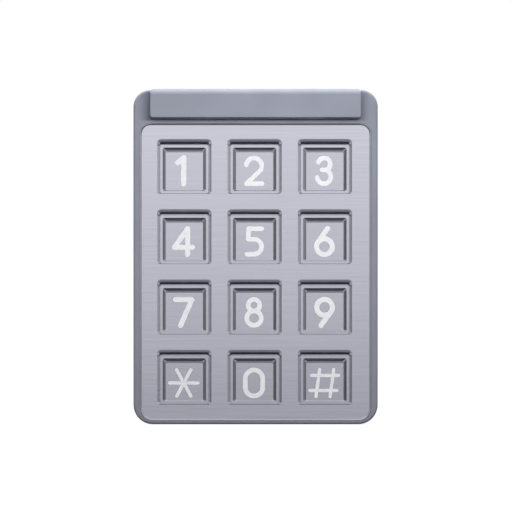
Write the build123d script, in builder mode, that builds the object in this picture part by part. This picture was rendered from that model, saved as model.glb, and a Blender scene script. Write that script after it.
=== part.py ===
from build123d import *
import os
from math import atan2, cos, degrees, hypot, radians, sin

os.makedirs("parts", exist_ok=True)

# ---------------------------------------------------------------------------
# Surface-mounted access keypad: a painted cast housing with a rain hood that
# lights the keys, a brushed metal front plate and twelve square metal keys.
# Millimetres. +Z up, +X to the right of someone facing the keys, front to -Y.
# Y = 0 is the wall. "d" below is the distance from the wall towards the user,
# so that y = -d: a sketch on Plane.XZ.offset(d) extrudes towards the user.
# ---------------------------------------------------------------------------

# housing
HOUSE_HW = 50.0            # half width
HOUSE_ZB, HOUSE_ZT = -68.85, 68.0
HOUSE_R_BOT, HOUSE_R_TOP = 8.0, 7.0
WALL = 2.4
HOUSE_D0, HOUSE_D1 = 1.2, 41.3
HOUSE_EDGE_R = 1.0         # rounding of the front edge
FLANGE_D0, FLANGE_D1 = 32.0, 35.0
DECK_D0 = 37.8             # front wall behind the hood
DECK_Z = 56.6              # underside of that wall's web

# front plate
PLATE_HW = 47.15
PLATE_ZB, PLATE_ZT = -67.25, 54.1
PLATE_R_BOT, PLATE_R_TOP = 5.2, 4.2
PLATE_D0, PLATE_D1 = 36.0, 41.0
PLATE_BORDER = 0.3         # height of the raised border, level with the housing
BORDER_W, BORDER_RUN = 0.18, 0.4   # its width, and the run of its inner slope
PLATE_EDGE_R = 0.08
SEAT_GAP = 0.12            # clearance round the plate

# keys
PITCH = 28.75
KEYS_DX = -0.4             # the keys sit a little left of the housing's middle
COL_X = (KEYS_DX - PITCH, KEYS_DX, KEYS_DX + PITCH)
ROW_Z = (35.5, 6.75, -22.0, -50.75)
KEY = 19.86                # key body, square
KEY_R = 0.9
KEY_EDGE_R = 0.06
OPENING = 20.0             # opening in the plate, a sliding fit for the key
OPENING_R = 1.0
ROLL_R = 3.4               # upper flank of each opening: rolled over to 45 degrees,
ROLL_STEPS = (0, 15, 30, 45)   # so that the hood's lamp reaches the faces
FLANK = 1.1                # run of the side flanks
FLANK_LOW = 0.03           # run of the lower flank
CREST_D = 40.5             # top of the key's rim
RIM = 1.05                 # width of the rim
DISH = 0.8                 # depth of the dished face
FACE_D = CREST_D - DISH
# dish: distance in front of the face, half width, upper and lower reach, corner radius
DISH_STEPS = (
    (DISH, KEY / 2 - RIM, KEY / 2 - RIM, KEY / 2 - RIM, 0.8),
    (0.25, 8.05, 8.2, 8.68, 0.7),
    (0.06, 7.65, 7.65, 8.58, 0.6),
    (0.0, 7.35, 6.95, 8.45, 0.5),
)
LIP = 21.6                 # retaining lip behind the plate
LIP_D0, LIP_D1 = 34.2, 35.7
SKIRT = 17.0
SKIRT_D0 = 31.0
TRAVEL = 1.3

# legends
INK = 1.88                 # stroke of the numerals
INK_BOLD = 2.06            # stroke of 1, 4, 6, 7 and 9, which are filled more fully
INK_THIN = 1.32            # stroke of the star and the hash
INK_DEEP, INK_PROUD = 0.5, 0.2
INK_DX = -0.25
INK_DZ = (-0.6, -0.8, -1.1, -1.25)   # legends sit below the key's centre, row by row

# key stack behind the plate
FRAME_D0, FRAME_D1 = 28.8, 32.0
MAT_D0 = 27.6
BOARD_D0 = 26.0
BOSS_X = (KEYS_DX - PITCH / 2, KEYS_DX + PITCH / 2)
BOSS_Z = (21.125, -7.625, -36.375)

# hood
HOOD_HW = 42.65
HOOD_ZB, HOOD_ZT = 55.95, 67.65
HOOD_D0, HOOD_D1 = HOUSE_D1, HOUSE_D1 + 10.0
HOOD_WALL = 1.8
HOOD_R_UP = 2.3            # upper front edge
HOOD_R_LOW = 0.4           # lower front edge and the ends
HOOD_CORNER_LOW, HOOD_CORNER_UP = 1.1, 1.8
HOOD_CAV_HW = 34.0
LENS_HW = 28.0
LENS_D = HOOD_D0 + 4.6

# rear
BACK_T = 2.0
WALL_HOLE_R = 2.25
WALL_HOLE_X, WALL_HOLE_Z = 35.0, 50.0
BOX_HOLE_R = 1.95
BOX_HOLE_Z = 83.3 / 2
CABLE_Z = -18.0
CABLE_HOLE_R = 8.0
CABLE_BORE_R = 4.5


def front(d):
    """The plane at distance d from the wall, facing the user."""
    return Plane.XZ.offset(d)


KEYS_AT = [(x, z) for z in ROW_Z for x in COL_X]
BOSSES_AT = [(x, z) for z in BOSS_Z for x in BOSS_X]

# ---------------------------------------------------------------------------
# housing: one cast shell, open at the rear, with a seat for the plate
# ---------------------------------------------------------------------------
SEAT_HW = PLATE_HW + SEAT_GAP
SEAT_ZB, SEAT_ZT = PLATE_ZB - SEAT_GAP, PLATE_ZT + SEAT_GAP
IN_HW = HOUSE_HW - WALL
IN_ZB, IN_ZT = HOUSE_ZB + WALL, HOUSE_ZT - WALL

FACE_SCREWS_AT = [(x, z) for x in (-44.9, 44.9) for z in (45.0, -7.6, -58.0)]
HOOD_SCREWS_AT = [(-38.2, 61.6), (38.2, 61.6)]
COVER_SCREW_X = (-25.0, 25.0)
COVER_SCREW_D = 8.0
HOOK_X = (-25.0, 25.0)

with BuildPart() as housing:
    with BuildSketch(front(HOUSE_D0)):
        with BuildLine():
            FilletPolyline(
                (-HOUSE_HW, HOUSE_ZB), (HOUSE_HW, HOUSE_ZB),
                (HOUSE_HW, HOUSE_ZT), (-HOUSE_HW, HOUSE_ZT),
                radius=[HOUSE_R_BOT, HOUSE_R_BOT, HOUSE_R_TOP, HOUSE_R_TOP], close=True,
            )
        make_face()
    extrude(amount=HOUSE_D1 - HOUSE_D0)
    fillet(housing.faces().sort_by(Axis.Y)[0].edges(), HOUSE_EDGE_R)
    # inside, up to the seat's flange
    with BuildSketch(front(HOUSE_D0)):
        with BuildLine():
            FilletPolyline(
                (-IN_HW, IN_ZB), (IN_HW, IN_ZB), (IN_HW, IN_ZT), (-IN_HW, IN_ZT),
                radius=[HOUSE_R_BOT - WALL, HOUSE_R_BOT - WALL, HOUSE_R_TOP - WALL, HOUSE_R_TOP - WALL],
                close=True,
            )
        make_face()
    extrude(amount=FLANGE_D0 - HOUSE_D0, mode=Mode.SUBTRACT)
    # pocket under the hood's wall
    with BuildSketch(front(FLANGE_D0)):
        with BuildLine():
            FilletPolyline(
                (-IN_HW + 0.4, DECK_Z), (IN_HW - 0.4, DECK_Z), (IN_HW - 0.4, IN_ZT - 0.4), (-IN_HW + 0.4, IN_ZT - 0.4),
                radius=[1.0, 1.0, 4.0, 4.0], close=True,
            )
        make_face()
    extrude(amount=DECK_D0 - FLANGE_D0, mode=Mode.SUBTRACT)
    # seat for the plate and the opening behind it
    with BuildSketch(front(FLANGE_D1)):
        with BuildLine():
            FilletPolyline(
                (-SEAT_HW, SEAT_ZB), (SEAT_HW, SEAT_ZB), (SEAT_HW, SEAT_ZT), (-SEAT_HW, SEAT_ZT),
                radius=[PLATE_R_BOT + SEAT_GAP] * 2 + [PLATE_R_TOP + SEAT_GAP] * 2, close=True,
            )
        make_face()
    extrude(amount=HOUSE_D1 - FLANGE_D1 + 1, mode=Mode.SUBTRACT)
    with BuildSketch(front(FLANGE_D0 - 0.5)):
        with Locations((0, (47.4 - 62.6) / 2)):
            RectangleRounded(85.0, 47.4 + 62.6, 2.0)
    extrude(amount=FLANGE_D1 - FLANGE_D0 + 1, mode=Mode.SUBTRACT)
    # screw holes: plate, hood, lead passage to the hood's lamp
    with BuildSketch(front(FLANGE_D0 - 0.5)):
        with Locations(*FACE_SCREWS_AT):
            Circle(1.45)
    extrude(amount=FLANGE_D1 - FLANGE_D0 + 1, mode=Mode.SUBTRACT)
    with BuildSketch(front(DECK_D0 - 0.5)):
        with Locations(*HOOD_SCREWS_AT):
            Circle(1.65)
        with Locations((0, 61.6)):
            SlotOverall(12, 4)
    extrude(amount=HOUSE_D1 - DECK_D0 + 1, mode=Mode.SUBTRACT)
    # ribs that the wall plate's hooks hold
    with BuildSketch(front(7.5)):
        with Locations(*[(x, (62.9 + IN_ZT + 0.5) / 2) for x in HOOK_X]):
            Rectangle(18, IN_ZT + 0.5 - 62.9)
    extrude(amount=2.2)
    # countersunk holes for the two security screws in the bottom wall
    for x in COVER_SCREW_X:
        with Locations(Location((x, -COVER_SCREW_D, HOUSE_ZB + 0.775))):
            Cone(3.1, 1.7, 1.55, mode=Mode.SUBTRACT)
        with Locations(Location((x, -COVER_SCREW_D, HOUSE_ZB + 1.2))):
            Cylinder(1.7, 4.0, mode=Mode.SUBTRACT)
    # drain hole
    with Locations(Location((0, -12, HOUSE_ZB + 1.2))):
        Cylinder(1.5, 4.0, mode=Mode.SUBTRACT)
housing.part.label = "housing"
export_step(housing.part, "parts/housing.step")

# ---------------------------------------------------------------------------
# hood: hollow bar over the keys, open to the housing, with a lamp window below
# ---------------------------------------------------------------------------
HOOD_ZC, HOOD_H = (HOOD_ZB + HOOD_ZT) / 2, HOOD_ZT - HOOD_ZB
with BuildPart() as hood:
    with BuildSketch(front(HOOD_D0)):
        with BuildLine():
            FilletPolyline(
                (-HOOD_HW, HOOD_ZB), (HOOD_HW, HOOD_ZB), (HOOD_HW, HOOD_ZT), (-HOOD_HW, HOOD_ZT),
                radius=[HOOD_CORNER_LOW, HOOD_CORNER_LOW, HOOD_CORNER_UP, HOOD_CORNER_UP], close=True,
            )
        make_face()
    extrude(amount=HOOD_D1 - HOOD_D0)
    fillet(hood.faces().sort_by(Axis.Y)[0].edges(), HOOD_R_LOW)
    # side profile with a well-rounded upper front edge
    with BuildSketch(Plane.YZ.offset(-HOOD_HW - 1)):
        with BuildLine():
            FilletPolyline(
                (-HOOD_D0, HOOD_ZB - 1), (-HOOD_D1, HOOD_ZB - 1), (-HOOD_D1, HOOD_ZT), (-HOOD_D0, HOOD_ZT),
                radius=[0.2, 0.2, HOOD_R_UP, 0.2], close=True,
            )
        make_face()
    extrude(amount=2 * HOOD_HW + 2, mode=Mode.INTERSECT)
    with BuildSketch(front(HOOD_D0)):
        with Locations((0, HOOD_ZC)):
            Rectangle(2 * HOOD_CAV_HW, HOOD_H - 2 * HOOD_WALL)
    extrude(amount=HOOD_D1 - HOOD_D0 - HOOD_WALL, mode=Mode.SUBTRACT)
    # ledges for the lamp board
    with BuildSketch(front(HOOD_D0 + 0.6)):
        with Locations((-HOOD_CAV_HW + 1.4, 60.4), (HOOD_CAV_HW - 1.4, 60.4)):
            Rectangle(3.0, 1.6)
    extrude(amount=HOOD_D1 - HOOD_D0 - HOOD_WALL - 0.4)
    # lamp window in the underside
    with BuildSketch(Plane.XY.offset(HOOD_ZB - 0.5)):
        with Locations((0, -LENS_D)):
            RectangleRounded(2 * LENS_HW, 5.0, 1.0)
    extrude(amount=HOOD_WALL + 1.0, mode=Mode.SUBTRACT)
    # blind screw holes in the solid ends
    with BuildSketch(front(HOOD_D0)):
        with Locations(*HOOD_SCREWS_AT):
            Circle(1.5)
    extrude(amount=6.6, mode=Mode.SUBTRACT)
hood.part.label = "hood"
export_step(hood.part, "parts/hood.step")

with BuildPart() as hood_lens:
    with BuildSketch(Plane.XY.offset(HOOD_ZB)):
        with Locations((0, -LENS_D)):
            RectangleRounded(2 * LENS_HW - 0.1, 4.9, 0.95)
    extrude(amount=HOOD_WALL)
    with BuildSketch(Plane.XY.offset(HOOD_ZB + HOOD_WALL)):
        with Locations((0, -LENS_D + 0.3)):
            Rectangle(2 * LENS_HW + 5, 7.4)
    extrude(amount=1.0)
hood_lens.part.label = "hood_lens"
export_step(hood_lens.part, "parts/hood_lens.step")

with BuildPart() as hood_lamp_board:
    with BuildSketch(Plane.XY.offset(61.2)):
        with Locations((0, -LENS_D + 0.4)):
            Rectangle(2 * HOOD_CAV_HW - 0.8, 7.0)
    extrude(amount=1.2)
hood_lamp_board.part.label = "hood_lamp_board"
export_step(hood_lamp_board.part, "parts/hood_lamp_board.step")

with BuildPart() as hood_leds:
    with BuildSketch(Plane.XY.offset(59.8)):
        with Locations(*[(x, -LENS_D) for x in (-24, -12, 0, 12, 24)]):
            RectangleRounded(3.5, 2.8, 0.3)
    extrude(amount=1.4)
hood_leds.part.label = "hood_leds"
export_step(hood_leds.part, "parts/hood_leds.step")

with BuildPart() as hood_screws:
    with BuildSketch(front(DECK_D0 - 2.2)):
        with Locations(*HOOD_SCREWS_AT):
            Circle(2.8)
    extrude(amount=2.2)
    with BuildSketch(front(DECK_D0)):
        with Locations(*HOOD_SCREWS_AT):
            Circle(1.48)
    extrude(amount=9.0)
    with BuildSketch(front(DECK_D0 - 2.2)):
        with Locations(*HOOD_SCREWS_AT):
            RegularPolygon(1.2, 6)
    extrude(amount=1.2, mode=Mode.SUBTRACT)
hood_screws.part.label = "hood_screws"
export_step(hood_screws.part, "parts/hood_screws.step")

# ---------------------------------------------------------------------------
# the space that one opening's flanks leave, about the opening's middle
# ---------------------------------------------------------------------------
ROLL_RUN = ROLL_R * sin(radians(ROLL_STEPS[-1]))
ROLL_DEEP = ROLL_R * (1 - cos(radians(ROLL_STEPS[-1])))
with BuildPart() as flanks:
    for step in ROLL_STEPS:
        deep = ROLL_R * (1 - cos(radians(step)))
        left = 1 - deep / ROLL_DEEP
        half = OPENING / 2 + FLANK * left
        top = OPENING / 2 + ROLL_RUN - ROLL_R * sin(radians(step))
        low = OPENING / 2 + FLANK_LOW * left
        with BuildSketch(front(PLATE_D1 - deep)):
            with BuildLine():
                FilletPolyline(
                    (-half, -low), (half, -low), (half, top), (-half, top),
                    radius=[OPENING_R + 0.1 * left] * 2 + [OPENING_R + 0.6 * left] * 2, close=True,
                )
            make_face()
    loft()

# ---------------------------------------------------------------------------
# front plate with twelve rolled-over square openings, bosses at the rear
# ---------------------------------------------------------------------------
with BuildPart() as front_plate:
    with BuildSketch(front(PLATE_D0)):
        with BuildLine():
            FilletPolyline(
                (-PLATE_HW, PLATE_ZB), (PLATE_HW, PLATE_ZB), (PLATE_HW, PLATE_ZT), (-PLATE_HW, PLATE_ZT),
                radius=[PLATE_R_BOT, PLATE_R_BOT, PLATE_R_TOP, PLATE_R_TOP], close=True,
            )
        make_face()
    extrude(amount=PLATE_D1 + PLATE_BORDER - PLATE_D0)
    fillet(front_plate.faces().sort_by(Axis.Y)[0].edges(), PLATE_EDGE_R)
    # the field inside the border
    for ahead, inset in ((0.0, BORDER_W + BORDER_RUN), (PLATE_BORDER, BORDER_W)):
        with BuildSketch(front(PLATE_D1 + ahead)):
            with BuildLine():
                FilletPolyline(
                    (-PLATE_HW + inset, PLATE_ZB + inset), (PLATE_HW - inset, PLATE_ZB + inset),
                    (PLATE_HW - inset, PLATE_ZT - inset), (-PLATE_HW + inset, PLATE_ZT - inset),
                    radius=[PLATE_R_BOT - inset] * 2 + [PLATE_R_TOP - inset] * 2, close=True,
                )
            make_face()
    loft(mode=Mode.SUBTRACT)
    with BuildSketch(front(PLATE_D0)):
        with Locations(*KEYS_AT):
            RectangleRounded(OPENING, OPENING, OPENING_R)
    extrude(amount=PLATE_D1 - PLATE_D0, mode=Mode.SUBTRACT)
    with Locations(*[Location((x, 0, z)) for x, z in KEYS_AT]):
        add(flanks.part, mode=Mode.SUBTRACT)
    # bosses for the key stack, blind-tapped, and tapped holes for the seat's screws
    with BuildSketch(front(FRAME_D1)):
        with Locations(*BOSSES_AT):
            Circle(2.7)
    extrude(amount=PLATE_D0 - FRAME_D1)
    with BuildSketch(front(FRAME_D1)):
        with Locations(*BOSSES_AT):
            Circle(1.25)
    extrude(amount=6.0, mode=Mode.SUBTRACT)
    with BuildSketch(front(PLATE_D0)):
        with Locations(*FACE_SCREWS_AT):
            Circle(1.25)
    extrude(amount=3.0, mode=Mode.SUBTRACT)
front_plate.part.label = "front_plate"
export_step(front_plate.part, "parts/front_plate.step")

with BuildPart() as plate_gasket:
    with BuildSketch(front(FLANGE_D1)):
        with BuildLine():
            FilletPolyline(
                (-PLATE_HW + 0.3, PLATE_ZB + 0.3), (PLATE_HW - 0.3, PLATE_ZB + 0.3),
                (PLATE_HW - 0.3, PLATE_ZT - 0.3), (-PLATE_HW + 0.3, PLATE_ZT - 0.3),
                radius=[PLATE_R_BOT, PLATE_R_BOT, PLATE_R_TOP, PLATE_R_TOP], close=True,
            )
        make_face()
        with Locations((0, (47.4 - 62.6) / 2)):
            RectangleRounded(85.4, 47.4 + 62.6 + 0.4, 2.2, mode=Mode.SUBTRACT)
        with Locations(*FACE_SCREWS_AT):
            Circle(1.6, mode=Mode.SUBTRACT)
    extrude(amount=PLATE_D0 - FLANGE_D1)
plate_gasket.part.label = "plate_gasket"
export_step(plate_gasket.part, "parts/plate_gasket.step")

with BuildPart() as plate_screws:
    with BuildSketch(front(FLANGE_D0 - 2.0)):
        with Locations(*FACE_SCREWS_AT):
            Circle(2.2)
    extrude(amount=2.0)
    with BuildSketch(front(FLANGE_D0)):
        with Locations(*FACE_SCREWS_AT):
            Circle(1.23)
    extrude(amount=6.5)
    with BuildSketch(front(FLANGE_D0 - 2.0)):
        with Locations(*FACE_SCREWS_AT):
            RegularPolygon(1.0, 6)
    extrude(amount=1.1, mode=Mode.SUBTRACT)
plate_screws.part.label = "plate_screws"
export_step(plate_screws.part, "parts/plate_screws.step")

# ---------------------------------------------------------------------------
# legends: rounded strokes, set into the keys' faces
# u to the right, v up, in millimetres from the legend's centre
# ---------------------------------------------------------------------------
LEGENDS = {
    "1": [("line", (0.0, -5.4), (0.0, 5.4)), ("line", (-2.6, 3.2), (0.0, 5.4))],
    "2": [
        ("arc", (0.0, 2.0), 3.2, 172, -212),
        ("line", (3.2 * cos(radians(-40)), 2.0 + 3.2 * sin(radians(-40))), (-3.05, -5.25)),
        ("line", (-3.05, -5.25), (3.3, -5.25)),
    ],
    "3": [
        ("arc", (-0.05, 2.75), 2.5, 160, -250),
        ("arc", (-0.1, -2.45), 2.8, 90, -262),
        ("line", (-0.9, 0.3), (-0.05, 0.3)),
    ],
    "4": [
        ("line", (1.6, 5.3), (1.6, -5.3)),
        ("line", (1.6, 5.3), (-3.8, -2.4)),
        ("line", (-3.8, -2.4), (3.6, -2.4)),
    ],
    "5": [
        ("line", (-2.1, 5.2), (3.1, 5.2)),
        ("line", (-2.1, 5.2), (-2.4, 0.95)),
        ("line", (-2.4, 0.95), (0.0, 0.95)),
        ("arc", (0.0, -2.15), 3.1, 90, -180),
        ("line", (0.0, -5.25), (-2.9, -5.25)),
    ],
    "6": [
        ("ring", (0.1, -2.1), 3.2, 3.2),
        ("line", (1.4, 5.3), (0.1 + 3.2 * cos(radians(148)), -2.1 + 3.2 * sin(radians(148)))),
    ],
    "7": [("line", (-3.3, 5.25), (3.3, 5.25)), ("line", (3.3, 5.25), (-1.3, -5.35))],
    "8": [("ring", (0.0, 2.95), 2.35, 2.35), ("ring", (0.0, -2.35), 2.95, 2.95)],
    "9": [
        ("ring", (0.15, 2.1), 3.2, 3.2),
        ("line", (-1.3, -5.3), (0.15 + 3.2 * cos(radians(-32)), 2.1 + 3.2 * sin(radians(-32)))),
    ],
    "star": [
        ("line", (-5.8, 0.0), (5.8, 0.0)),
        ("line", (-2.9, 5.4), (2.9, -5.4)),
        ("line", (2.9, 5.4), (-2.9, -5.4)),
    ],
    "0": [("stadium", (0.0, 0.0), 3.55, 5.3)],
    "hash": [
        ("line", (-5.2, 3.1), (5.9, 3.1)),
        ("line", (-5.9, -3.1), (5.2, -3.1)),
        ("line", (-1.9, 5.5), (-3.35, -5.5)),
        ("line", (3.9, 5.5), (2.45, -5.5)),
    ],
}
KEY_NAMES = ["1", "2", "3", "4", "5", "6", "7", "8", "9", "star", "0", "hash"]

for name, (kx, kz) in zip(KEY_NAMES, KEYS_AT):
    ink = INK_THIN if name in ("star", "hash") else INK_BOLD if name in "14679" else INK
    ox, oz = kx + INK_DX, kz + INK_DZ[ROW_Z.index(kz)]
    arcs = [
        CenterArc((ox + s[1][0], oz + s[1][1]), s[2], s[3], s[4])
        for s in LEGENDS[name] if s[0] == "arc"
    ]
    with BuildPart() as legend:
        with BuildSketch(front(FACE_D - INK_DEEP)):
            for s in LEGENDS[name]:
                if s[0] == "line":
                    (u1, v1), (u2, v2) = s[1], s[2]
                    with Locations((ox + (u1 + u2) / 2, oz + (v1 + v2) / 2)):
                        SlotCenterToCenter(
                            hypot(u2 - u1, v2 - v1), ink,
                            rotation=degrees(atan2(v2 - v1, u2 - u1)),
                        )
                elif s[0] == "ring":
                    with Locations((ox + s[1][0], oz + s[1][1])):
                        Circle(s[2] + ink / 2)
                elif s[0] == "stadium":
                    with Locations((ox + s[1][0], oz + s[1][1])):
                        RectangleRounded(2 * s[2] + ink, 2 * s[3] + ink, s[2] + ink / 2 - 0.05)
            for arc in arcs:
                SlotArc(arc, ink)
            for s in LEGENDS[name]:
                if s[0] == "ring":
                    with Locations((ox + s[1][0], oz + s[1][1])):
                        Circle(s[2] - ink / 2, mode=Mode.SUBTRACT)
                elif s[0] == "stadium":
                    with Locations((ox + s[1][0], oz + s[1][1])):
                        RectangleRounded(2 * s[2] - ink, 2 * s[3] - ink, s[2] - ink / 2 - 0.05, mode=Mode.SUBTRACT)
        extrude(amount=INK_DEEP + INK_PROUD)
    legend.part.label = f"legend_{name}"
    export_step(legend.part, f"parts/legend_{name}.step")

    with BuildPart() as key:
        # body through the plate
        with BuildSketch(front(LIP_D0)):
            with Locations((kx, kz)):
                RectangleRounded(KEY, KEY, KEY_R)
        extrude(amount=CREST_D - LIP_D0)
        fillet(key.faces().sort_by(Axis.Y)[0].edges(), KEY_EDGE_R)
        # dished face inside the rim, its upper flank laid back
        for upper, lower in zip(DISH_STEPS, DISH_STEPS[1:]):
            for ahead, half, top, low, r in (upper, lower):
                with BuildSketch(front(FACE_D + ahead)):
                    with BuildLine():
                        FilletPolyline(
                            (kx - half, kz - low), (kx + half, kz - low), (kx + half, kz + top), (kx - half, kz + top),
                            radius=r, close=True,
                        )
                    make_face()
            loft(mode=Mode.SUBTRACT)
        # retaining lip and guide skirt
        with BuildSketch(front(LIP_D0)):
            with Locations((kx, kz)):
                RectangleRounded(LIP, LIP, 1.8)
        extrude(amount=LIP_D1 - LIP_D0)
        with BuildSketch(front(SKIRT_D0)):
            with Locations((kx, kz)):
                RectangleRounded(SKIRT, SKIRT, 1.0)
        extrude(amount=LIP_D0 - SKIRT_D0)
        # hollow below, with the plunger that works the dome
        with BuildSketch(front(SKIRT_D0)):
            with Locations((kx, kz)):
                RectangleRounded(SKIRT - 2.6, SKIRT - 2.6, 0.8)
        extrude(amount=FACE_D - 1.9 - SKIRT_D0, mode=Mode.SUBTRACT)
        with BuildSketch(front(32.3)):
            with Locations((kx, kz)):
                Circle(2.6)
        extrude(amount=FACE_D - 1.9 - 32.3)
        add(legend.part, mode=Mode.SUBTRACT)
    key.part.label = f"key_{name}"
    export_step(key.part, f"parts/key_{name}.step")

# ---------------------------------------------------------------------------
# key stack: guide frame, rubber dome mat, board
# ---------------------------------------------------------------------------
STACK_ZB, STACK_ZT = -62.2, 47.0
with BuildPart() as key_guide_frame:
    with BuildSketch(front(FRAME_D0)):
        with Locations((0, (STACK_ZB + STACK_ZT) / 2)):
            RectangleRounded(83.0, STACK_ZT - STACK_ZB, 2.5)
        with Locations(*KEYS_AT):
            RectangleRounded(SKIRT + 0.8, SKIRT + 0.8, 1.2, mode=Mode.SUBTRACT)
        with Locations(*BOSSES_AT):
            Circle(1.5, mode=Mode.SUBTRACT)
    extrude(amount=FRAME_D1 - FRAME_D0)
key_guide_frame.part.label = "key_guide_frame"
export_step(key_guide_frame.part, "parts/key_guide_frame.step")

with BuildPart() as key_mat:
    with BuildSketch(front(MAT_D0)):
        with Locations((0, (STACK_ZB + STACK_ZT) / 2)):
            RectangleRounded(83.0, STACK_ZT - STACK_ZB, 2.5)
        with Locations(*BOSSES_AT):
            Circle(1.5, mode=Mode.SUBTRACT)
    extrude(amount=FRAME_D0 - MAT_D0)
    with BuildSketch(front(FRAME_D0)):
        with Locations(*KEYS_AT):
            Circle(5.6)
    extrude(amount=3.2, taper=32)
    with BuildSketch(front(MAT_D0)):
        with Locations(*KEYS_AT):
            Circle(4.9)
    extrude(amount=3.2, taper=32, mode=Mode.SUBTRACT)
key_mat.part.label = "key_mat"
export_step(key_mat.part, "parts/key_mat.step")

with BuildPart() as keypad_board:
    with BuildSketch(front(BOARD_D0)):
        with Locations((0, (STACK_ZB + STACK_ZT) / 2)):
            RectangleRounded(84.0, STACK_ZT - STACK_ZB + 1.0, 2.5)
        with Locations(*BOSSES_AT):
            Circle(1.5, mode=Mode.SUBTRACT)
    extrude(amount=MAT_D0 - BOARD_D0)
keypad_board.part.label = "keypad_board"
export_step(keypad_board.part, "parts/keypad_board.step")

with BuildPart() as contact_pads:
    with BuildSketch(front(MAT_D0)):
        with Locations(*KEYS_AT):
            Circle(3.8)
            Rectangle(0.5, 8.0, mode=Mode.SUBTRACT)
    extrude(amount=0.1)
contact_pads.part.label = "contact_pads"
export_step(contact_pads.part, "parts/contact_pads.step")

with BuildPart() as board_screws:
    with BuildSketch(front(BOARD_D0 - 1.8)):
        with Locations(*BOSSES_AT):
            Circle(2.3)
    extrude(amount=1.8)
    with BuildSketch(front(BOARD_D0)):
        with Locations(*BOSSES_AT):
            Circle(1.23)
    extrude(amount=11.0)
    with BuildSketch(front(BOARD_D0 - 1.8)):
        with Locations(*BOSSES_AT):
            Rectangle(3.0, 0.6)
            Rectangle(0.6, 3.0)
    extrude(amount=1.0, mode=Mode.SUBTRACT)
board_screws.part.label = "board_screws"
export_step(board_screws.part, "parts/board_screws.step")

# ---------------------------------------------------------------------------
# parts on the rear of the board
# ---------------------------------------------------------------------------
with BuildPart() as controller_chip:
    with BuildSketch(front(BOARD_D0)):
        with Locations((0, 30.0)):
            Rectangle(12.0, 12.0)
    extrude(amount=-1.6)
    chamfer(controller_chip.faces().sort_by(Axis.Y)[-1].edges(), 0.25)
controller_chip.part.label = "controller_chip"
export_step(controller_chip.part, "parts/controller_chip.step")

with BuildPart() as relay:
    with BuildSketch(front(BOARD_D0)):
        with Locations((26.0, 20.0)):
            RectangleRounded(15.5, 19.0, 0.6)
    extrude(amount=-15.0)
    chamfer(relay.faces().sort_by(Axis.Y)[-1].edges(), 0.5)
relay.part.label = "relay"
export_step(relay.part, "parts/relay.step")

TERMINAL_Z = -50.0
TERMINAL_X = (-22.5, -17.5, -12.5, -7.5, -2.5, 2.5, 7.5, 12.5)
with BuildPart() as terminal_block:
    with BuildSketch(front(BOARD_D0)):
        with Locations((-5.0, TERMINAL_Z)):
            Rectangle(41.0, 9.0)
    extrude(amount=-10.0)
    # wire mouths along the lower side, screw wells at the rear
    with BuildSketch(Plane.XY.offset(TERMINAL_Z - 4.5)):
        with Locations(*[(x, -(BOARD_D0 - 3.6)) for x in TERMINAL_X]):
            Rectangle(3.4, 3.2)
    extrude(amount=3.0, mode=Mode.SUBTRACT)
    with BuildSketch(front(BOARD_D0 - 10.0)):
        with Locations(*[(x, TERMINAL_Z + 0.4) for x in TERMINAL_X]):
            Circle(1.8)
    extrude(amount=3.0, mode=Mode.SUBTRACT)
terminal_block.part.label = "terminal_block"
export_step(terminal_block.part, "parts/terminal_block.step")

with BuildPart() as terminal_screws:
    with BuildSketch(front(BOARD_D0 - 9.0)):
        with Locations(*[(x, TERMINAL_Z + 0.4) for x in TERMINAL_X]):
            Circle(1.7)
    extrude(amount=2.0)
    with BuildSketch(front(BOARD_D0 - 9.0)):
        with Locations(*[(x, TERMINAL_Z + 0.4) for x in TERMINAL_X]):
            Rectangle(2.6, 0.5)
    extrude(amount=0.8, mode=Mode.SUBTRACT)
terminal_screws.part.label = "terminal_screws"
export_step(terminal_screws.part, "parts/terminal_screws.step")

with BuildPart() as buzzer:
    with BuildSketch(front(BOARD_D0)):
        with Locations((-24.0, 22.0)):
            Circle(6.0)
    extrude(amount=-8.5)
    with BuildSketch(front(BOARD_D0 - 8.5)):
        with Locations((-24.0, 22.0)):
            Circle(1.0)
    extrude(amount=2.0, mode=Mode.SUBTRACT)
buzzer.part.label = "buzzer"
export_step(buzzer.part, "parts/buzzer.step")

with BuildPart() as capacitors:
    with BuildSketch(front(BOARD_D0)):
        with Locations((24.0, -22.0), (33.0, -22.0)):
            Circle(4.0)
    extrude(amount=-11.0)
    fillet(capacitors.faces().filter_by(Axis.Y).group_by(Axis.Y)[-1].edges(), 0.4)
capacitors.part.label = "capacitors"
export_step(capacitors.part, "parts/capacitors.step")

with BuildPart() as hood_connector:
    with BuildSketch(front(BOARD_D0)):
        with Locations((14.0, 43.0)):
            Rectangle(9.0, 5.0)
        with Locations((14.0, 43.4)):
            Rectangle(7.4, 3.0, mode=Mode.SUBTRACT)
    extrude(amount=-6.0)
    with BuildSketch(front(BOARD_D0)):
        with Locations((14.0, 43.0)):
            Rectangle(9.0, 5.0)
    extrude(amount=-1.2)
hood_connector.part.label = "hood_connector"
export_step(hood_connector.part, "parts/hood_connector.step")

with BuildPart() as tamper_sensor:
    with BuildSketch(front(BOARD_D0)):
        with Locations((-30.0, -30.0)):
            RectangleRounded(3.2, 16.0, 0.5)
    extrude(amount=-3.0)
tamper_sensor.part.label = "tamper_sensor"
export_step(tamper_sensor.part, "parts/tamper_sensor.step")

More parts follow.
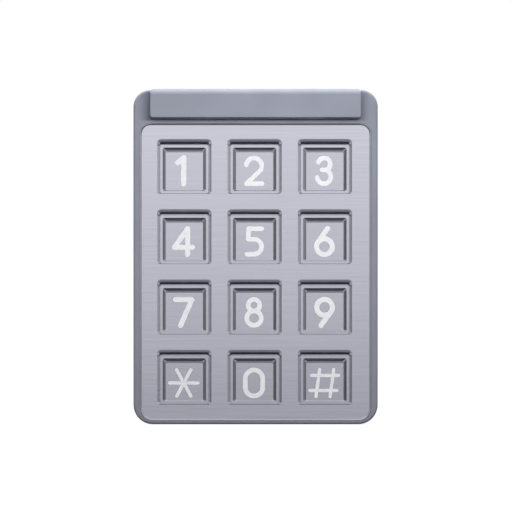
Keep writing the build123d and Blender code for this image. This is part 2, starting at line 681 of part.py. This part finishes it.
# ---------------------------------------------------------------------------
# rear: wall plate with hooks and tabs, magnet, grommet, gasket, screws
# ---------------------------------------------------------------------------
with BuildPart() as wall_plate:
    with BuildSketch(front(0)):
        with BuildLine():
            FilletPolyline(
                (-IN_HW + 0.5, IN_ZB + 0.5), (IN_HW - 0.5, IN_ZB + 0.5),
                (IN_HW - 0.5, IN_ZT - 0.5), (-IN_HW + 0.5, IN_ZT - 0.5),
                radius=[HOUSE_R_BOT - WALL, HOUSE_R_BOT - WALL, HOUSE_R_TOP - WALL, HOUSE_R_TOP - WALL],
                close=True,
            )
        make_face()
        with GridLocations(2 * WALL_HOLE_X, 2 * WALL_HOLE_Z, 2, 2):
            Circle(WALL_HOLE_R, mode=Mode.SUBTRACT)
        with Locations((0, BOX_HOLE_Z), (0, -BOX_HOLE_Z)):
            Circle(BOX_HOLE_R, mode=Mode.SUBTRACT)
        with Locations((0, CABLE_Z)):
            Circle(CABLE_HOLE_R, mode=Mode.SUBTRACT)
    extrude(amount=BACK_T)
    # hooks at the top: a forward tab with an upturned lip
    with BuildSketch(front(BACK_T)):
        with Locations(*[(x, 61.4) for x in HOOK_X]):
            Rectangle(12.0, 2.0)
    extrude(amount=10.0)
    with BuildSketch(front(10.0)):
        with Locations(*[(x, 63.6) for x in HOOK_X]):
            Rectangle(12.0, 2.6)
    extrude(amount=2.0)
    # tabs at the bottom that take the security screws
    with BuildSketch(front(BACK_T)):
        with Locations(*[(x, -63.2) for x in COVER_SCREW_X]):
            Rectangle(12.0, 5.0)
    extrude(amount=11.0)
    for x in COVER_SCREW_X:
        with Locations(Location((x, -COVER_SCREW_D, -63.2))):
            Cylinder(1.5, 8.0, mode=Mode.SUBTRACT)
wall_plate.part.label = "wall_plate"
export_step(wall_plate.part, "parts/wall_plate.step")

with BuildPart() as tamper_magnet:
    with BuildSketch(front(BACK_T)):
        with Locations((-30.0, -30.0)):
            RectangleRounded(6.0, 12.0, 0.5)
    extrude(amount=5.0)
tamper_magnet.part.label = "tamper_magnet"
export_step(tamper_magnet.part, "parts/tamper_magnet.step")

with BuildPart() as cable_grommet:
    with BuildSketch(front(0)):
        with Locations((0, CABLE_Z)):
            Circle(CABLE_HOLE_R)
    extrude(amount=BACK_T)
    with BuildSketch(front(BACK_T)):
        with Locations((0, CABLE_Z)):
            Circle(CABLE_HOLE_R + 2.2)
    extrude(amount=2.5)
    fillet(cable_grommet.faces().sort_by(Axis.Y)[0].edges(), 0.8)
    with BuildSketch(front(0)):
        with Locations((0, CABLE_Z)):
            Circle(CABLE_BORE_R)
    extrude(amount=6.0, mode=Mode.SUBTRACT)
cable_grommet.part.label = "cable_grommet"
export_step(cable_grommet.part, "parts/cable_grommet.step")

with BuildPart() as wall_gasket:
    with BuildSketch(front(0)):
        with BuildLine():
            FilletPolyline(
                (-HOUSE_HW + 0.3, HOUSE_ZB + 0.3), (HOUSE_HW - 0.3, HOUSE_ZB + 0.3),
                (HOUSE_HW - 0.3, HOUSE_ZT - 0.3), (-HOUSE_HW + 0.3, HOUSE_ZT - 0.3),
                radius=[HOUSE_R_BOT, HOUSE_R_BOT, HOUSE_R_TOP, HOUSE_R_TOP], close=True,
            )
        make_face()
        with BuildLine():
            FilletPolyline(
                (-IN_HW, IN_ZB), (IN_HW, IN_ZB), (IN_HW, IN_ZT), (-IN_HW, IN_ZT),
                radius=[HOUSE_R_BOT - WALL, HOUSE_R_BOT - WALL, HOUSE_R_TOP - WALL, HOUSE_R_TOP - WALL],
                close=True,
            )
        make_face(mode=Mode.SUBTRACT)
    extrude(amount=HOUSE_D0)
wall_gasket.part.label = "wall_gasket"
export_step(wall_gasket.part, "parts/wall_gasket.step")

with BuildPart() as security_screws:
    for x in COVER_SCREW_X:
        with Locations(Location((x, -COVER_SCREW_D, HOUSE_ZB + 0.15 + 0.7))):
            Cone(2.93, 1.67, 1.4)
        with Locations(Location((x, -COVER_SCREW_D, HOUSE_ZB + 1.0 + 4.0))):
            Cylinder(1.48, 8.0)
    with BuildSketch(Plane.XY.offset(HOUSE_ZB)):
        with Locations(*[(x, -COVER_SCREW_D) for x in COVER_SCREW_X]):
            RegularPolygon(1.15, 6)
            Circle(0.4, mode=Mode.SUBTRACT)
    extrude(amount=1.3, mode=Mode.SUBTRACT)
security_screws.part.label = "security_screws"
export_step(security_screws.part, "parts/security_screws.step")
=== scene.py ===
import math

import bmesh
import bpy
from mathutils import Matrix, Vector


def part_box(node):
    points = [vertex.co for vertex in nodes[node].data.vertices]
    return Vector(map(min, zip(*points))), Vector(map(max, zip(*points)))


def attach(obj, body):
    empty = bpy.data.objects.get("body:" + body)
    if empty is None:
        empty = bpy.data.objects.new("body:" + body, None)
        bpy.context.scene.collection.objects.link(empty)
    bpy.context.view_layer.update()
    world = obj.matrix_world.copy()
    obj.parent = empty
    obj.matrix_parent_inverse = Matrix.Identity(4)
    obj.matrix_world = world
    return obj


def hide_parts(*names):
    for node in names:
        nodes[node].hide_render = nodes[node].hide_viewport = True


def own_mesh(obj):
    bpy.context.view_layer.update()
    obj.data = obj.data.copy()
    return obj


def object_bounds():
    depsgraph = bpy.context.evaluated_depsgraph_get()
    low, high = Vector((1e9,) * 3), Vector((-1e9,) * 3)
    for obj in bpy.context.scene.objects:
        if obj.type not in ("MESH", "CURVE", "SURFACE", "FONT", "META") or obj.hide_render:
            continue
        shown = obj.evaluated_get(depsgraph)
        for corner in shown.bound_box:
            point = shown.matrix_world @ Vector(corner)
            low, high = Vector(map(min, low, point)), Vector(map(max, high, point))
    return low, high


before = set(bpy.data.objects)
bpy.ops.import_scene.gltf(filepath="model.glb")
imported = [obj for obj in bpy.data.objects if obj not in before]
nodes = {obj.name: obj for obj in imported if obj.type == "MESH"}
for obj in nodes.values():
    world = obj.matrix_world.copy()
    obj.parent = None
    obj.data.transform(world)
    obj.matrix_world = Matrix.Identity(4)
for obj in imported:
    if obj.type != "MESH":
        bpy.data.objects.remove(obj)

cad_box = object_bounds()
scene = bpy.context.scene

KEYS = ["1", "2", "3", "4", "5", "6", "7", "8", "9", "star", "0", "hash"]


# ---------------------------------------------------------------------------
# materials
# ---------------------------------------------------------------------------
def new_material(name):
    m = bpy.data.materials.new(name)
    m.use_nodes = True
    nt = m.node_tree
    for n in list(nt.nodes):
        nt.nodes.remove(n)
    out = nt.nodes.new("ShaderNodeOutputMaterial")
    b = nt.nodes.new("ShaderNodeBsdfPrincipled")
    nt.links.new(b.outputs["BSDF"], out.inputs["Surface"])
    return m, nt, b


def coords(nt, scale=(1, 1, 1)):
    """Object coordinates, stretched."""
    t = nt.nodes.new("ShaderNodeTexCoord")
    mp = nt.nodes.new("ShaderNodeMapping")
    mp.inputs["Scale"].default_value = scale
    nt.links.new(t.outputs["Object"], mp.inputs["Vector"])
    return mp.outputs["Vector"]


def noise(nt, vec, scale, detail=3.0, rough=0.55):
    n = nt.nodes.new("ShaderNodeTexNoise")
    n.inputs["Scale"].default_value = scale
    n.inputs["Detail"].default_value = detail
    n.inputs["Roughness"].default_value = rough
    nt.links.new(vec, n.inputs["Vector"])
    return n.outputs["Fac"]


def ramp(nt, fac, stops):
    r = nt.nodes.new("ShaderNodeValToRGB")
    e = r.color_ramp.elements
    while len(e) < len(stops):
        e.new(0.5)
    for el, (p, c) in zip(e, stops):
        el.position = p
        el.color = (c[0], c[1], c[2], 1.0) if isinstance(c, (tuple, list)) else (c, c, c, 1.0)
    nt.links.new(fac, r.inputs["Fac"])
    return r.outputs["Color"]


def bump(nt, b, height, strength, distance):
    n = nt.nodes.new("ShaderNodeBump")
    n.inputs["Strength"].default_value = strength
    n.inputs["Distance"].default_value = distance
    nt.links.new(height, n.inputs["Height"])
    nt.links.new(n.outputs["Normal"], b.inputs["Normal"])
    return n


def painted(name, low, high, rough_lo, rough_hi):
    """Satin powder coat: faint colour drift and a fine orange-peel texture."""
    m, nt, b = new_material(name)
    v = coords(nt)
    nt.links.new(ramp(nt, noise(nt, v, 60, 4), [(0.3, low), (0.7, high)]), b.inputs["Base Color"])
    nt.links.new(ramp(nt, noise(nt, v, 420, 3), [(0.3, rough_lo), (0.7, rough_hi)]), b.inputs["Roughness"])
    b.inputs["Specular IOR Level"].default_value = 0.5
    bump(nt, b, noise(nt, v, 1500, 2), 0.10, 0.0002)
    return m


def brushed(name, low, high, rough_lo, rough_hi, stretch=(5, 400, 400), aniso=0.35, strength=0.06):
    """Satin metal with fine marks that run across."""
    m, nt, b = new_material(name)
    v = coords(nt, stretch)
    streak = noise(nt, v, 6.0, 6, 0.6)
    nt.links.new(ramp(nt, streak, [(0.3, low), (0.7, high)]), b.inputs["Base Color"])
    nt.links.new(ramp(nt, streak, [(0.25, rough_lo), (0.75, rough_hi)]), b.inputs["Roughness"])
    b.inputs["Metallic"].default_value = 1.0
    b.inputs["Anisotropic"].default_value = aniso
    bump(nt, b, streak, strength, 0.00008)
    return m


def plain(name, low, high, rough, metallic=0.0, scale=300, strength=0.05, spec=0.5):
    """Moulded or plated surface with slight colour and gloss variation."""
    m, nt, b = new_material(name)
    v = coords(nt)
    n = noise(nt, v, scale, 4)
    nt.links.new(ramp(nt, n, [(0.3, low), (0.7, high)]), b.inputs["Base Color"])
    nt.links.new(ramp(nt, n, [(0.3, max(rough - 0.06, 0.02)), (0.7, rough + 0.06)]), b.inputs["Roughness"])
    b.inputs["Metallic"].default_value = metallic
    b.inputs["Specular IOR Level"].default_value = spec
    bump(nt, b, noise(nt, v, scale * 4, 2), strength, 0.0001)
    return m


def srgb(r, g, b):
    def f(c):
        c /= 255.0
        return c / 12.92 if c <= 0.04045 else ((c + 0.055) / 1.055) ** 2.4
    return (f(r), f(g), f(b))


paint = painted("paint_blue_grey", srgb(138, 141, 153), srgb(145, 148, 160), 0.40, 0.50)
plate_metal = brushed("plate_satin", srgb(228, 228, 230), srgb(239, 239, 241), 0.17, 0.24, strength=0.04)
key_metal = brushed("key_satin", srgb(224, 224, 226), srgb(235, 235, 237), 0.16, 0.22, (8, 500, 500), 0.2, 0.004)
white_ink = plain("legend_white", srgb(240, 240, 245), srgb(253, 253, 255), 0.35, 0.0, 420, 0.06)
rubber = plain("rubber_black", srgb(26, 26, 27), srgb(36, 36, 37), 0.75, 0.0, 600, 0.15)
mat_rubber = plain("mat_grey", srgb(140, 142, 146), srgb(152, 154, 158), 0.6, 0.0, 500, 0.1)
board = plain("board_green", srgb(22, 74, 44), srgb(30, 88, 52), 0.4, 0.0, 300, 0.08)
gold = plain("contact_gold", srgb(214, 176, 92), srgb(226, 190, 108), 0.3, 1.0, 800, 0.02)
lamp = plain("lamp_white", srgb(244, 240, 214), srgb(250, 247, 228), 0.3, 0.0, 700, 0.02)
steel = plain("screw_steel", srgb(188, 188, 192), srgb(204, 204, 208), 0.3, 1.0, 700, 0.05)
black = plain("plastic_black", srgb(28, 28, 30), srgb(38, 38, 40), 0.5, 0.0, 500, 0.1)
ivory = plain("plastic_white", srgb(226, 222, 208), srgb(236, 232, 220), 0.45, 0.0, 500, 0.05)
blue = plain("relay_blue", srgb(36, 72, 150), srgb(44, 84, 166), 0.3, 0.0, 500, 0.03)
green = plain("terminal_green", srgb(36, 128, 66), srgb(46, 142, 76), 0.45, 0.0, 500, 0.06)
zinc = plain("wall_zinc", srgb(176, 178, 182), srgb(198, 200, 204), 0.38, 1.0, 140, 0.06)
nickel = plain("magnet_nickel", srgb(200, 200, 198), srgb(212, 212, 210), 0.2, 1.0, 300, 0.03)

lens_mat, nt, b = new_material("lens_frosted")
v = coords(nt)
nt.links.new(ramp(nt, noise(nt, v, 900, 3), [(0.3, 0.22), (0.7, 0.38)]), b.inputs["Roughness"])
b.inputs["Base Color"].default_value = (0.93, 0.95, 0.97, 1)
b.inputs["Transmission Weight"].default_value = 0.85
b.inputs["IOR"].default_value = 1.49
bump(nt, b, noise(nt, v, 1800, 2), 0.08, 0.0001)

FINISH = {
    "housing": paint, "hood": paint, "front_plate": plate_metal, "hood_lens": lens_mat,
    "plate_gasket": rubber, "cable_grommet": rubber, "wall_gasket": rubber, "key_mat": mat_rubber,
    "keypad_board": board, "hood_lamp_board": board, "contact_pads": gold, "hood_leds": lamp,
    "hood_screws": steel, "plate_screws": steel, "board_screws": steel, "terminal_screws": steel,
    "security_screws": steel, "key_guide_frame": black, "controller_chip": black, "buzzer": black,
    "capacitors": black, "tamper_sensor": black, "hood_connector": ivory, "relay": blue,
    "terminal_block": green, "wall_plate": zinc, "tamper_magnet": nickel,
}
for k in KEYS:
    FINISH["key_" + k] = key_metal
    FINISH["legend_" + k] = white_ink
for name, mat in FINISH.items():
    o = nodes[name]
    if not o.material_slots:
        o.data.materials.append(mat)
    for s in o.material_slots:
        s.material = mat

# ---------------------------------------------------------------------------
# key mat: a rubber sheet, and twelve domes under the keys
# ---------------------------------------------------------------------------
mat_lo, mat_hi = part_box("key_mat")
DOME_H = 0.0032
sheet_y = mat_lo[1] + DOME_H          # front face of the sheet, where the domes stand
me = nodes["key_mat"].data.copy()
me.name = "mat_base"
bm = bmesh.new()
bm.from_mesh(me)
bmesh.ops.remove_doubles(bm, verts=bm.verts, dist=1e-6)
bmesh.ops.bisect_plane(
    bm, geom=bm.verts[:] + bm.edges[:] + bm.faces[:], dist=1e-6,
    plane_co=(0, sheet_y, 0), plane_no=(0, -1, 0), clear_outer=True,
)
for k in KEYS:
    k_lo, k_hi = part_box("key_" + k)
    cx, cz = (k_lo[0] + k_hi[0]) / 2, (k_lo[2] + k_hi[2]) / 2
    rim = [
        e for e in bm.edges
        if e.is_boundary and all(math.hypot(v.co.x - cx, v.co.z - cz) < 0.007 for v in e.verts)
    ]
    bmesh.ops.bridge_loops(bm, edges=rim)
bmesh.ops.recalc_face_normals(bm, faces=bm.faces)
bm.to_mesh(me)
bm.free()
mat_base = bpy.data.objects.new("mat_base", me)
scene.collection.objects.link(mat_base)
me.materials.clear()
me.materials.append(mat_rubber)
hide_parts("key_mat")
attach(mat_base, "case")

# radius and height of the dome's outside, then of its hollow, in millimetres
DOME = [(5.6, 0.0), (5.3, 0.42), (4.75, 1.3), (4.2, 2.2), (3.86, 2.74), (3.62, 3.02), (3.25, 3.17), (2.7, 3.2)]
HOLLOW = [(2.2, 2.0), (2.7, 1.96), (2.92, 1.82), (3.3, 1.36), (3.75, 0.64), (4.15, 0.0)]
TURNS = 48
for k in KEYS:
    k_lo, k_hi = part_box("key_" + k)
    cx, cz = (k_lo[0] + k_hi[0]) / 2, (k_lo[2] + k_hi[2]) / 2
    bm = bmesh.new()
    rings = [
        [
            bm.verts.new((
                cx + r * 1e-3 * math.cos(2 * math.pi * t / TURNS), sheet_y - h * 1e-3,
                cz + r * 1e-3 * math.sin(2 * math.pi * t / TURNS),
            ))
            for t in range(TURNS)
        ]
        for r, h in DOME + HOLLOW
    ]
    last = len(DOME) - 1
    joins = [(i, i + 1) for i in range(len(rings) - 1) if i != last] + [(len(rings) - 1, 0)]
    for i, j in joins:
        for t in range(TURNS):
            n = (t + 1) % TURNS
            bm.faces.new((rings[i][t], rings[i][n], rings[j][n], rings[j][t]))
    bm.faces.new(rings[last])
    bm.faces.new(rings[last + 1])
    bmesh.ops.recalc_face_normals(bm, faces=bm.faces)
    for f in bm.faces:
        f.smooth = len(f.verts) == 4
    me = bpy.data.meshes.new("mat_dome_" + k)
    bm.to_mesh(me)
    bm.free()
    me.materials.append(mat_rubber)
    dome = bpy.data.objects.new("mat_dome_" + k, me)
    scene.collection.objects.link(dome)
    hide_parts("key_mat")
    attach(dome, "case")
    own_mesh(dome)

# ---------------------------------------------------------------------------
# floor, light, camera
# ---------------------------------------------------------------------------
lo, hi = cad_box
floor_z = lo[2] - 0.0005
bpy.ops.mesh.primitive_plane_add(size=60, location=(0, 0, floor_z))
floor = bpy.context.object
floor.name = "floor"
fm, nt, b = new_material("floor_white")
b.inputs["Base Color"].default_value = (0.10, 0.10, 0.10, 1)
b.inputs["Roughness"].default_value = 0.9
b.inputs["Specular IOR Level"].default_value = 0.0
b.inputs["Emission Color"].default_value = (1, 1, 1, 1)
b.inputs["Emission Strength"].default_value = 0.95
floor.data.materials.append(fm)
floor.visible_glossy = False
floor.visible_diffuse = False
floor.visible_shadow = False

world = bpy.data.worlds.new("studio")
scene.world = world
world.use_nodes = True
nt = world.node_tree
for n in list(nt.nodes):
    nt.nodes.remove(n)
w_out = nt.nodes.new("ShaderNodeOutputWorld")
geo = nt.nodes.new("ShaderNodeTexCoord")
sep = nt.nodes.new("ShaderNodeSeparateXYZ")
nt.links.new(geo.outputs["Generated"], sep.inputs["Vector"])
# what the metal reflects: bright above the horizon, dim and bluish below
height = nt.nodes.new("ShaderNodeMapRange")
height.inputs["From Min"].default_value = -1.0
height.inputs["From Max"].default_value = 1.0
nt.links.new(sep.outputs["Z"], height.inputs["Value"])
SKY = [(0.0, 0.070), (0.19, 0.075), (0.26, 0.19), (0.37, 0.21), (0.43, 0.20), (0.458, 0.365), (0.478, 0.54),
       (0.496, 0.632), (0.514, 0.685), (0.535, 0.775), (0.60, 0.90), (0.80, 0.72), (1.0, 0.52)]
sky = ramp(nt, height.outputs["Result"], [(p, (0.985 * c, c, 1.085 * c + 0.02)) for p, c in SKY])
# dim at the sides, and more so on the left
across = nt.nodes.new("ShaderNodeMapRange")
across.inputs["From Min"].default_value = -1.0
across.inputs["From Max"].default_value = 1.0
nt.links.new(sep.outputs["Y"], across.inputs["Value"])
LEFT = [(0.0, 1.0), (0.11, 0.95), (0.165, 0.16), (0.31, 0.11), (0.35, 0.62), (0.38, 0.62), (0.43, 0.25), (0.60, 0.25), (0.70, 0.85)]
RIGHT = [(0.0, 1.0), (0.11, 0.95), (0.165, 0.24), (0.31, 0.18), (0.35, 0.78), (0.40, 0.66), (0.60, 0.45), (0.70, 0.85)]
side = nt.nodes.new("ShaderNodeMapRange")
side.inputs["From Min"].default_value = -0.3
side.inputs["From Max"].default_value = 0.3
nt.links.new(ramp(nt, across.outputs["Result"], LEFT), side.inputs["To Min"])
nt.links.new(ramp(nt, across.outputs["Result"], RIGHT), side.inputs["To Max"])
nt.links.new(sep.outputs["X"], side.inputs["Value"])
# the sides matter only near the horizon: overhead stays bright
up = nt.nodes.new("ShaderNodeMapRange")
up.inputs["From Min"].default_value = 0.35
up.inputs["From Max"].default_value = 0.75
nt.links.new(sep.outputs["Z"], up.inputs["Value"])
most = nt.nodes.new("ShaderNodeMath")
most.operation = "MAXIMUM"
nt.links.new(side.outputs["Result"], most.inputs[0])
nt.links.new(up.outputs["Result"], most.inputs[1])
dim = nt.nodes.new("ShaderNodeVectorMath")
dim.operation = "SCALE"
nt.links.new(sky, dim.inputs[0])
nt.links.new(most.outputs["Value"], dim.inputs["Scale"])
# low on both sides there is a pale panel, which the plate shows to someone standing beside it
def part_of(value, lo_v, hi_v):
    m = nt.nodes.new("ShaderNodeMapRange")
    m.inputs["From Min"].default_value = lo_v
    m.inputs["From Max"].default_value = hi_v
    nt.links.new(value, m.inputs["Value"])
    return m.outputs["Result"]


def times(p, q):
    m = nt.nodes.new("ShaderNodeMath")
    m.operation = "MULTIPLY"
    nt.links.new(p, m.inputs[0])
    nt.links.new(q, m.inputs[1])
    return m.outputs["Value"]


sideways = nt.nodes.new("ShaderNodeMath")
sideways.operation = "ABSOLUTE"
nt.links.new(sep.outputs["X"], sideways.inputs[0])
panel = times(
    times(part_of(sideways.outputs["Value"], 0.25, 0.42), part_of(sep.outputs["Y"], -0.40, -0.60)),
    times(part_of(sep.outputs["Z"], -0.80, -0.50), part_of(sep.outputs["Z"], -0.15, -0.23)),
)
panel_light = ramp(nt, panel, [(0.0, (0.0, 0.0, 0.0)), (1.0, (0.50, 0.51, 0.565))])
lit = nt.nodes.new("ShaderNodeVectorMath")
lit.operation = "MAXIMUM"
nt.links.new(dim.outputs["Vector"], lit.inputs[0])
nt.links.new(panel_light, lit.inputs[1])
soft = nt.nodes.new("ShaderNodeBackground")
nt.links.new(lit.outputs["Vector"], soft.inputs["Color"])
soft.inputs["Strength"].default_value = 1.0
# what lights the paint: mostly from above
fill = nt.nodes.new("ShaderNodeBackground")
nt.links.new(ramp(nt, height.outputs["Result"], [(0.0, 0.02), (0.30, 0.06), (0.42, 0.135), (0.55, 0.28), (1.0, 0.60)]), fill.inputs["Color"])
# the sides and the rear have no lamp, so more of it comes from there
around = nt.nodes.new("ShaderNodeMapRange")
around.inputs["From Min"].default_value = -0.05
around.inputs["From Max"].default_value = 0.45
around.inputs["To Min"].default_value = 1.0
around.inputs["To Max"].default_value = 3.3
nt.links.new(sep.outputs["Y"], around.inputs["Value"])
nt.links.new(around.outputs["Result"], fill.inputs["Strength"])
white = nt.nodes.new("ShaderNodeBackground")
white.inputs["Color"].default_value = (1, 1, 1, 1)
white.inputs["Strength"].default_value = 1.0
path = nt.nodes.new("ShaderNodeLightPath")
mix_d = nt.nodes.new("ShaderNodeMixShader")
nt.links.new(path.outputs["Is Diffuse Ray"], mix_d.inputs["Fac"])
nt.links.new(soft.outputs["Background"], mix_d.inputs[1])
nt.links.new(fill.outputs["Background"], mix_d.inputs[2])
mix = nt.nodes.new("ShaderNodeMixShader")
nt.links.new(path.outputs["Is Camera Ray"], mix.inputs["Fac"])
nt.links.new(mix_d.outputs["Shader"], mix.inputs[1])
nt.links.new(white.outputs["Background"], mix.inputs[2])
nt.links.new(mix.outputs["Shader"], w_out.inputs["Surface"])


def area(name, loc, target, size, energy, color=(1, 1, 1)):
    l = bpy.data.lights.new(name, "AREA")
    l.shape = "RECTANGLE"
    l.size, l.size_y = size
    l.energy = energy
    l.color = color
    o = bpy.data.objects.new(name, l)
    o.location = loc
    o.rotation_euler = (Vector(target) - Vector(loc)).to_track_quat("-Z", "Y").to_euler()
    o.visible_camera = False
    o.visible_glossy = False
    scene.collection.objects.link(o)
    return o


area("key_soft_box", (0.015, -0.24, 0.068), (0, -0.04, 0.030), (0.10, 0.02), 0.326)
area("top_soft_box", (0.0, -0.06, 0.50), (0, -0.045, 0.067), (0.30, 0.16), 3.25)

cam_data = bpy.data.cameras.new("camera")
cam = bpy.data.objects.new("camera", cam_data)
scene.collection.objects.link(cam)
cam.location = (0.0, -0.845, 0.0)
cam.rotation_euler = (math.radians(90), 0, 0)
cam_data.sensor_width = 36.0
cam_data.lens = 36.0 * (0.845 - 0.037) / (512 * 0.411e-3)
cam_data.shift_x = 0.0008
cam_data.clip_start = 0.01
scene.camera = cam

scene.view_settings.view_transform = "Standard"
scene.view_settings.look = "None"
scene.view_settings.exposure = 0.0
scene.view_settings.gamma = 1.0
